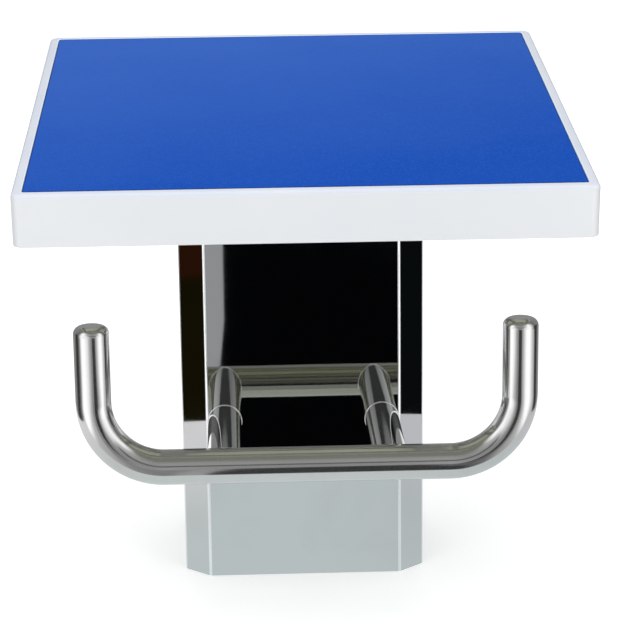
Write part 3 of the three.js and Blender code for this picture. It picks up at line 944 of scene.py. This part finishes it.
def makeAccessCover(sizes=coverSizes):
    bm = bmesh.new()
    plate(bm, sizes["width"], sizes["height"], 0, sizes)
    stand = Matrix.Rotation(math.pi, 4, "Z") @ tilted
    place(bm, at((0, sizes["front"], sizes["middle"])) @ stand)
    finishPiece(bm, "accessCover", [coverSteel], ["access_cover"])


makeColumn()
makeAccessCover()
print("column made")


# Screws, bolts and washers, made with the head below z = 0 and the shank above it

headRim, shankRim = 48, 32  # points round a head and round a shank
panRound, panSteps = 0.6, 6  # of a pan head's height


def ringOf(bm, radius, height, count=headRim):
    made = bmesh.ops.create_circle(bm, cap_ends=True, segments=count, radius=radius)["verts"]
    shift(bm, made, (0, 0, height))
    return made[0].link_faces[0]


def hexLoop(bm, acrossFlats, height, count=headRim):
    made = circleOf(bm, acrossFlats / 2 / math.cos(math.pi / 6), 6)
    shift(bm, made, (0, 0, height))
    edges = list({edge for vert in made for edge in vert.link_edges})
    between = bmesh.ops.subdivide_edges(bm, edges=edges, cuts=count // 6 - 1)["geom_inner"]
    return list({edge for vert in pick(between, BMVert) for edge in vert.link_edges})


def shank(bm, radius, length):
    extruded(bm, ringOf(bm, radius, 0, shankRim), (0, 0, length))


def panScrew(sizes):
    bm = bmesh.new()
    height = sizes["headHeight"]
    head = extruded(bm, ringOf(bm, sizes["head"], 0), (0, 0, -height))
    rounded(bm, head.edges, height * panRound, panSteps)
    flat = min(bm.faces, key=lambda face: face.calc_center_median().z)
    socket = hexLoop(bm, sizes["socket"], -height)
    bmesh.ops.bridge_loops(bm, edges=openEdges(bm, flat) + socket)
    made = bmesh.ops.extrude_edge_only(bm, edges=socket)["geom"]
    shift(bm, pick(made, BMVert), (0, 0, sizes["socketDepth"]))
    bmesh.ops.contextual_create(bm, geom=pick(made, BMEdge))
    shank(bm, sizes["radius"], sizes["length"])
    outwards(bm)
    return bm


def hexBolt(sizes):
    bm = bmesh.new()
    height, top = sizes["headHeight"], sizes["width"] * sizes["flatTop"]
    made = bmesh.ops.contextual_create(bm, geom=hexLoop(bm, sizes["width"], 0))["faces"]
    end = extruded(bm, made[0], (0, 0, -height))
    for vert in end.verts:  # the corners fall away in a cone
        beyond = Vector((vert.co.x, vert.co.y)).length - top
        vert.co.z += beyond * math.tan(math.radians(sizes["cone"]))
    bmesh.ops.bridge_loops(bm, edges=openEdges(bm, end) + list(ringOf(bm, top, -height).edges))
    shank(bm, sizes["radius"], sizes["length"])
    outwards(bm)
    return bm


def flatWasher(sizes):
    bm = bmesh.new()
    outer, bore = ringOf(bm, sizes["radius"], 0), ringOf(bm, sizes["bore"], 0)
    bmesh.ops.bridge_loops(bm, edges=openEdges(bm, outer) + openEdges(bm, bore))
    made = bmesh.ops.extrude_face_region(bm, geom=bm.faces[:])["geom"]
    shift(bm, pick(made, BMVert), (0, 0, sizes["thickness"]))
    soften(bm, sizes["edgeRound"])
    outwards(bm)
    return bm


def finishFastener(bm, node, matrix):
    place(bm, matrix)
    finishNode(bm, node, fastenerSteel)


coverScrew = {
    "head": 4.8 * mm,
    "headHeight": 2.6 * mm,
    "socket": 3.2 * mm,
    "socketDepth": 1.5 * mm,
    "radius": 2.5 * mm,
    "length": 11.7 * mm,
    "seat": 104.4 * mm,
    "across": 66 * mm,
    "up": 88 * mm,
}
railScrew = {
    "head": 6 * mm,
    "headHeight": 3.4 * mm,
    "socket": 4 * mm,
    "socketDepth": 2 * mm,
    "radius": 3 * mm,
    "length": 27.6 * mm,
    "seat": -38.2 * mm,
    "across": 180 * mm,
    "along": 205 * mm,
}
headBolt = {
    "width": 17 * mm,
    "headHeight": 6.4 * mm,
    "flatTop": 0.47,  # the radius of the head's flat end, as a share of its width
    "cone": 28,  # degrees
    "radius": 5 * mm,
    "length": 23.2 * mm,
    "seat": -48.8 * mm,
    "across": 130 * mm,
    "along": 80 * mm,
    "middle": 45.58 * mm,
}
headWasher = {
    "radius": 10 * mm,
    "bore": 5.4 * mm,
    "thickness": 2 * mm,
    "edgeRound": 0.25 * mm,
    "seat": -48.5 * mm,
}


def makeCoverScrews(sizes=coverScrew):
    for upName, up in (("lower", -1), ("upper", 1)):
        for sideName, side in sides:
            spot = (side * sizes["across"], sizes["seat"], coverSizes["middle"] + up * sizes["up"])
            stand = at(spot) @ tilted
            finishFastener(panScrew(sizes), f"cover_screw_{upName}_{sideName}", stand)


def makeRailScrews(sizes=railScrew):
    for endName, end in ends:
        for sideName, side in (sides[0], ("middle", 0), sides[1]):
            spot = (side * sizes["across"], end * sizes["along"], sizes["seat"])
            stand = slope @ at(spot)
            finishFastener(panScrew(sizes), f"rail_screw_{endName}_{sideName}", stand)


def makeHeadBolts(sizes=headBolt, washer=headWasher):
    for endName, end in ends:
        for sideName, side in sides:
            spot = (side * sizes["across"], sizes["middle"] + end * sizes["along"], 0)
            for kind, bm, seat in (
                ("bolt", hexBolt(sizes), sizes["seat"]),
                ("washer", flatWasher(washer), washer["seat"]),
            ):
                stand = slope @ at(spot) @ at((0, 0, seat))
                finishFastener(bm, f"head_{kind}_{endName}_{sideName}", stand)


makeCoverScrews()
makeRailScrews()
makeHeadBolts()
print("fasteners made")


# Backstroke handle

handle = {
    "radius": 16 * mm,
    "wall": 2 * mm,
    "sides": 64,
    "barY": -236 * mm,
    "barZ": 156 * mm,
    "gripX": 190 * mm,
    "gripTop": 280 * mm,
    "bend": 62 * mm,
    "bendSteps": 28,
    "capHeight": 8 * mm,
    "capRound": 7.4 * mm,
    "capSteps": 12,
    "capOverlap": 0.5 * mm,  # of the spigot into the cap
    "spigot": 10 * mm,
    "spigotRadius": 13.7 * mm,
    "standoffX": 75 * mm,
    "columnFace": -100.3 * mm,
    "fit": 0.3 * mm,
}
weld = {
    "radius": 0.5 * mm,
    "sides": 12,
    "steps": 96,
    "beyond": 0.2,  # shares of its radius: outside the tube, before the column and off the bar
    "faceLift": 0.15,
    "barLift": 0.6,
}


def extrudedLoop(bm, edges, move):
    made = bmesh.ops.extrude_edge_only(bm, edges=edges)["geom"]
    shift(bm, pick(made, BMVert), move)
    return pick(made, BMEdge)


def bentLoop(bm, edges, centre, steps):
    verts = list({vert for edge in edges for vert in edge.verts})
    made = bmesh.ops.spin(
        bm,
        geom=verts + edges,
        cent=centre,
        axis=(0, 1, 0),
        angle=-turn90,
        steps=steps,
        use_duplicate=False,
    )["geom_last"]
    return pick(made, BMEdge)


def makeGrabBar(sizes=handle):
    bm = bmesh.new()
    x, y, z, bend = sizes["gripX"], sizes["barY"], sizes["barZ"], sizes["bend"]
    shift(bm, circleOf(bm, sizes["radius"], sizes["sides"]), (-x, y, sizes["gripTop"]))
    upright = sizes["gripTop"] - z - bend
    loop = extrudedLoop(bm, bm.edges[:], (0, 0, -upright))
    loop = bentLoop(bm, loop, (bend - x, y, z + bend), sizes["bendSteps"])
    loop = extrudedLoop(bm, loop, (2 * (x - bend), 0, 0))
    loop = bentLoop(bm, loop, (x - bend, y, z + bend), sizes["bendSteps"])
    extrudedLoop(bm, loop, (0, 0, upright))
    outwards(bm)
    thicken(bm, sizes["wall"])
    finishPiece(bm, "grabBar", [polishedSteel], ["grab_bar"])


def makeEndCap(node, side, sizes=handle):
    bm = bmesh.new()
    base = ringOf(bm, sizes["radius"], 0, sizes["sides"])
    top = extruded(bm, base, (0, 0, sizes["capHeight"]))
    rounded(bm, top.edges, sizes["capRound"], sizes["capSteps"])
    spigot = ringOf(bm, sizes["spigotRadius"], -sizes["spigot"])
    extruded(bm, spigot, (0, 0, sizes["spigot"] + sizes["capOverlap"]))
    outwards(bm)
    place(bm, at((side * sizes["gripX"], sizes["barY"], sizes["gripTop"])))
    finishNode(bm, node, polishedSteel)


def saddle(sizes, across, radius):  # how far forward the bar's back is, this far from its middle
    return sizes["barY"] + math.sqrt(max(radius**2 - across**2, 0))


def makeStandoff(node, side, sizes=handle):
    bm = bmesh.new()
    verts = circleOf(bm, sizes["radius"], sizes["sides"])
    bmesh.ops.rotate(bm, matrix=tilted, verts=verts)
    shift(bm, verts, (side * sizes["standoffX"], sizes["columnFace"], sizes["barZ"]))
    loop = extrudedLoop(bm, bm.edges[:], (0, 0, 0))
    for vert in {vert for edge in loop for vert in edge.verts}:
        vert.co.y = saddle(sizes, vert.co.z - sizes["barZ"], sizes["radius"] + sizes["fit"])
    bmesh.ops.recalc_face_normals(bm, faces=bm.faces)
    thicken(bm, sizes["wall"])
    finishNode(bm, node, standoffSteel)


def weldRing(sizes):
    bm = bmesh.new()
    verts = circleOf(bm, weld["radius"], weld["sides"])
    bmesh.ops.rotate(bm, matrix=tilted, verts=verts)
    shift(bm, verts, (sizes["radius"] + weld["radius"] * weld["beyond"], 0, 0))
    bmesh.ops.rotate(bm, matrix=tilted, verts=verts)
    bmesh.ops.spin(
        bm,
        geom=bm.verts[:] + bm.edges[:],
        cent=(0, 0, 0),
        axis=(0, 1, 0),
        angle=2 * math.pi,
        steps=weld["steps"],
        use_merge=True,
        use_duplicate=False,
    )
    outwards(bm)
    return bm


def makeWelds(sideName, side, sizes=handle):
    x, z = side * sizes["standoffX"], sizes["barZ"]
    bm = weldRing(sizes)
    place(bm, at((x, sizes["columnFace"] - weld["radius"] * weld["faceLift"], z)))
    finishPiece(bm, f"faceWeld-{sideName}", [weldHighlightSteel])
    bm = weldRing(sizes)
    place(bm, at((x, 0, z)))
    for vert in bm.verts:
        lifted = sizes["radius"] + weld["radius"] * weld["barLift"]
        vert.co.y += saddle(sizes, vert.co.z - z, lifted)
    finishPiece(bm, f"barWeld-{sideName}", [weldHighlightSteel])


makeGrabBar()
for sideName, side in sides:
    makeEndCap(f"end_cap_{sideName}", side)
    makeStandoff(f"standoff_{sideName}", side)
    makeWelds(sideName, side)
print("handle made")


# Studio. The tent is a round wall with a ceiling, a deck and a pale sheet, seen by reflections alone.

studio = {
    "floorSize": 8.0,
    "floorLevel": -0.6 * mm,
    "floorColour": (0.84, 0.845, 0.85, 1),
    "floorLift": (0.42, 0.72),  # how much whiter the floor shows than it is lit, near and far
    "floorFar": (0.7, 1.9),
    "tentMiddle": (0, -0.25, 0),
    "tentRadius": 0.85,
    "tentSides": 96,
    "tentHeight": 1.5,
    "tentEnds": 0.867,  # the radius of its ceiling and deck
    "tentPeak": 1.6,
    "deckLevel": -0.4 * mm,
    "ceiling": (0.21, 0.22, 0.18, 1),
    "ceilingBlend": (0.8, 1.3),  # heights between which the wall takes the ceiling's colour
    "paper": (-0.607, 0.620, -0.425, 0.45),  # the pale sheet: left, right, front, back
    "paperLevel": -0.2 * mm,
    "lampAim": (0, -0.1, 0.35),
    "daylight": (0.98, 0.99, 1.0, 1),
    "daylightStrength": 0.5,
}
# glow colours of the tent, for painted reflections in the metal
brown, dimRedGlow = (0.006, 0.0045, 0.0012), (0.017, 0.005, 0.0016)
black, dimSlateGlow = (0.0008, 0.001, 0.0012), (0.0024, 0.0032, 0.0034)
# Brightness round the tent, by degrees to the right of its front, as shares of its peak
nearDeck = [
    (-180, 0.6), (-173, 0.9), (-158, 0.9), (-148, 0.25), (-120, 0.20), (-103, brown), (-92, brown),
    (-86, 0.10), (-78, 0.28), (-72, 0.80), (-66, 1.0), (-54, 1.0), (-42, 0.84), (-29, 0.64),
    (-20, 0.48), (-13, 0.38), (-6.5, 0.28), (11.5, 0.1), (20, 0.26), (26, 0.45), (34, 0.70),
    (42, 0.92), (51, 1.0), (60, 1.0), (68, 0.80), (80, 0.46), (88, 0.34), (94, dimSlateGlow), (106, dimSlateGlow),
    (120, 0.20), (148, 0.25), (158, 0.6),
]
kneeHigh = [
    (-180, 0.22), (-110, 0.16), (-104, dimRedGlow), (-90, dimRedGlow), (-80, 0.30), (-68, 0.95), (-40, 0.75),
    (-26, 0.5), (-16, 0.31), (-12, 0.25), (-6, 0.2), (8, 0.2), (13, 0.25), (18, 0.28), (23, 0.38),
    (30, 0.6), (45, 0.85), (62, 0.95), (78, 0.4), (90, dimSlateGlow), (108, dimSlateGlow), (114, 0.16), (180, 0.22),
]
darkBand = [
    (-180, 0.22), (-110, 0.16), (-90, 0.08), (-78, 0.30), (-68, 0.95), (-45, 0.85), (-27, 0.3),
    (-19, 0.04), (21, 0.04), (28, 0.3), (45, 0.85), (62, 0.95), (78, 0.4), (90, 0.1), (110, 0.16),
    (180, 0.22),
]
overhead = [
    (-180, 0.22), (-110, 0.16), (-88, 0.08), (-78, 0.30), (-68, 0.95), (-52, 0.88), (-40, 0.45),
    (-28, 0.32), (-14, 0.24), (0, 0.22), (14, 0.24), (28, 0.32), (40, 0.45), (52, 0.88), (62, 0.95),
    (76, 0.45), (90, 0.10), (110, 0.16), (180, 0.22),
]
wallBands = [  # with the heights where each starts and is full
    (kneeHigh, 0.115, 0.125),
    (darkBand, 0.385, 0.40),
    (overhead, 0.49, 0.52),
]
# Brightness of the deck in front of the pale sheet, by metres to the right
inFront = [
    (-0.5, 0.60), (-0.35, 0.40), (-0.25, 0.34), (-0.20, 0.19), (-0.13, 0.14), (-0.12, 0.26),
    (0.18, 0.26), (0.20, 0.10), (0.22, 0.10), (0.25, 0.24), (0.35, 0.40), (0.5, 0.60),
]
deckFront = {
    "from": -0.3,
    "within": (0.48, 0.35),  # it fades out to the sides between these
    "darkLeft": (-0.1045, -0.1025),  # edges of the dark that the column's front mirrors
    "darkRight": (0.21, 0.18),
    "lean": 0.02,
}
sheetTones = [  # from left to right
    (0.0, (0.62, 0.597, 0.60)), (0.15, (0.57, 0.576, 0.577)), (0.28, (0.489, 0.515, 0.508)),
    (0.42, (0.465, 0.505, 0.505)), (0.5, (0.465, 0.505, 0.505)), (0.72, (0.43, 0.463, 0.463)),
    (0.84, (0.458, 0.464, 0.485)), (1.0, (0.475, 0.47, 0.485)),
]


def standing(name, bm, material):
    mesh = bpy.data.meshes.new(name)
    bm.to_mesh(mesh)
    bm.free()
    mesh.materials.append(material)
    item = bpy.data.objects.new(name, mesh)
    bpy.context.scene.collection.objects.link(item)
    return item


def reflected(name, bm, material):
    item = standing(name, bm, material)
    for ray in ("camera", "diffuse", "transmission", "shadow"):
        setattr(item, "visible_" + ray, False)


def seenBy(tree):  # the camera, a mirror or a clear thing
    ray = add(tree, "LightPath").outputs
    seen = calc(tree, "MAXIMUM", ray["Is Camera Ray"], ray["Is Glossy Ray"])
    return calc(tree, "MAXIMUM", seen, ray["Is Transmission Ray"])


def makeFloor():
    material = bpy.data.materials.new("paleFloor")
    tree = emptyTree(material)
    paint = add(tree, "BsdfDiffuse", {"Color": studio["floorColour"]})
    where = add(tree, "TexCoord").outputs["Object"]
    away = add(tree, "VectorMath", {0: where}, operation="LENGTH").outputs["Value"]
    lifted = remap(tree, away, *studio["floorFar"], *studio["floorLift"])
    lift = add(tree, "Emission", {"Strength": calc(tree, "MULTIPLY", seenBy(tree), lifted)})
    both = add(tree, "AddShader", {0: paint.outputs[0], 1: lift.outputs[0]})
    add(tree, "OutputMaterial", {"Surface": both.outputs[0]})
    bm = bmesh.new()
    bmesh.ops.create_grid(bm, x_segments=1, y_segments=1, size=studio["floorSize"])
    shift(bm, bm.verts, (0, 0, studio["floorLevel"]))
    standing("floor", bm, material)


def glowing(name):
    material = bpy.data.materials.new(name)
    tree = emptyTree(material)
    material.cycles.emission_sampling = "NONE"
    glow = add(tree, "Emission", {"Strength": studio["tentPeak"]})
    add(tree, "OutputMaterial", {"Surface": glow.outputs[0]})
    return material, tree, glow, add(tree, "TexCoord").outputs["Object"]


def roundTheTent(tree, where, stops):
    x, y = studio["tentMiddle"][:2]
    turn = {"Vector": where, "Rotation": (0, 0, turn90), "Location": (y, -x, 0)}
    turned = add(tree, "Mapping", turn).outputs[0]
    angle = add(tree, "TexGradient", {"Vector": turned}, gradient_type="RADIAL")
    shares = [((degrees + 180) / 360, level) for degrees, level in stops]
    return rampOf(tree, angle.outputs["Fac"], shares)


def mirroredDeck(tree, where):
    axes, half = axesOf(tree, where), inFront[-1][0]
    tones = [(x + half, shade) for x, shade in inFront]
    across = rampOf(tree, calc(tree, "ADD", axes["X"], half), tones)
    leaning = calc(tree, "ADD", axes["X"], calc(tree, "MULTIPLY", axes["Y"], deckFront["lean"]))
    leftEdge = remap(tree, leaning, *deckFront["darkLeft"])
    rightEdge = remap(tree, axes["X"], *deckFront["darkRight"])
    front = mixColour(tree, calc(tree, "MULTIPLY", leftEdge, rightEdge), across, (*black, 1))
    inside = remap(tree, calc(tree, "ABSOLUTE", axes["X"]), *deckFront["within"])
    ahead = calc(tree, "MULTIPLY", inside, calc(tree, "LESS_THAN", axes["Y"], deckFront["from"]))
    return mixColour(tree, ahead, roundTheTent(tree, where, nearDeck), front)


def makeTentWall():
    material, tree, glow, where = glowing("tentWall")
    height = axesOf(tree, where)["Z"]
    wall = mirroredDeck(tree, where)
    for stops, low, high in wallBands:
        band = roundTheTent(tree, where, stops)
        wall = mixColour(tree, remap(tree, height, low, high), wall, band)
    shaded = (*[value / studio["tentPeak"] for value in studio["ceiling"][:3]], 1)
    high = remap(tree, height, *studio["ceilingBlend"])
    plug(tree, glow, {"Color": mixColour(tree, high, wall, shaded)})
    bm = bmesh.new()
    shift(bm, circleOf(bm, studio["tentRadius"], studio["tentSides"]), studio["tentMiddle"])
    extrudedLoop(bm, bm.edges[:], (0, 0, studio["tentHeight"]))
    reflected("tentWall", bm, material)


def makeTentEnd(name, level):
    material, tree, glow, where = glowing(name)
    bm = bmesh.new()
    ringOf(bm, studio["tentEnds"], level, studio["tentSides"])
    shift(bm, bm.verts, studio["tentMiddle"])
    reflected(name, bm, material)
    return tree, glow, where


def makePaperSheet():
    left, right, front, back = studio["paper"]
    material, tree, glow, where = glowing("paperSheet")
    along = remap(tree, axesOf(tree, where)["X"], left, right)
    plug(tree, glow, {"Color": rampOf(tree, along, sheetTones)})
    bm = bmesh.new()
    roundedFace(bm, right - left, back - front, 0, studio["paperLevel"])
    shift(bm, bm.verts, ((left + right) / 2, (front + back) / 2, 0))
    reflected("paperSheet", bm, material)


def makeTent():
    makeTentWall()
    tree, glow, where = makeTentEnd("tentCeiling", studio["tentHeight"])
    plug(tree, glow, {"Color": studio["ceiling"], "Strength": 1.0})
    tree, glow, where = makeTentEnd("tentFloor", studio["deckLevel"])
    plug(tree, glow, {"Color": mirroredDeck(tree, where)})
    makePaperSheet()


lamps = [
    # name, place, size, watts
    ("frontLeft", (-1.3, -2.0, 1.5), 1.6, 18.5),
    ("frontRight", (1.4, -1.9, 1.5), 1.6, 19.5),
    ("overhead", (-0.3, 0.2, 2.6), 2.2, 18.3),
    ("behind", (0.0, 2.4, 1.6), 2.0, 12),
    ("fromTheDeck", (0.0, -0.19, 0.01), 0.3, 0.3),
]


def makeLamps():
    for name, where, size, watts in lamps:
        data = bpy.data.lights.new(name, "AREA")
        data.energy = watts
        data.size = size
        lamp = bpy.data.objects.new(name, data)
        bpy.context.scene.collection.objects.link(lamp)
        aim = (Vector(studio["lampAim"]) - Vector(where)).to_track_quat("-Z", "Y")
        lamp.matrix_world = at(where) @ aim.to_matrix().to_4x4()
        lamp.visible_glossy = False
        lamp.visible_camera = False


def makeWorld():
    world = bpy.data.worlds.new("paleStudio")
    bpy.context.scene.world = world
    tree = emptyTree(world)
    light = {"Color": studio["daylight"], "Strength": studio["daylightStrength"]}
    plain = add(tree, "Background", light)
    white = add(tree, "Background", {"Color": (1, 1, 1, 1), "Strength": 1.0})
    shaders = {0: seenBy(tree), 1: plain.outputs[0], 2: white.outputs[0]}
    add(tree, "OutputWorld", {"Surface": add(tree, "MixShader", shaders).outputs[0]})


makeFloor()
makeTent()
makeLamps()
makeWorld()
bpy.context.scene.view_settings.view_transform = "Standard"
print("studio made")
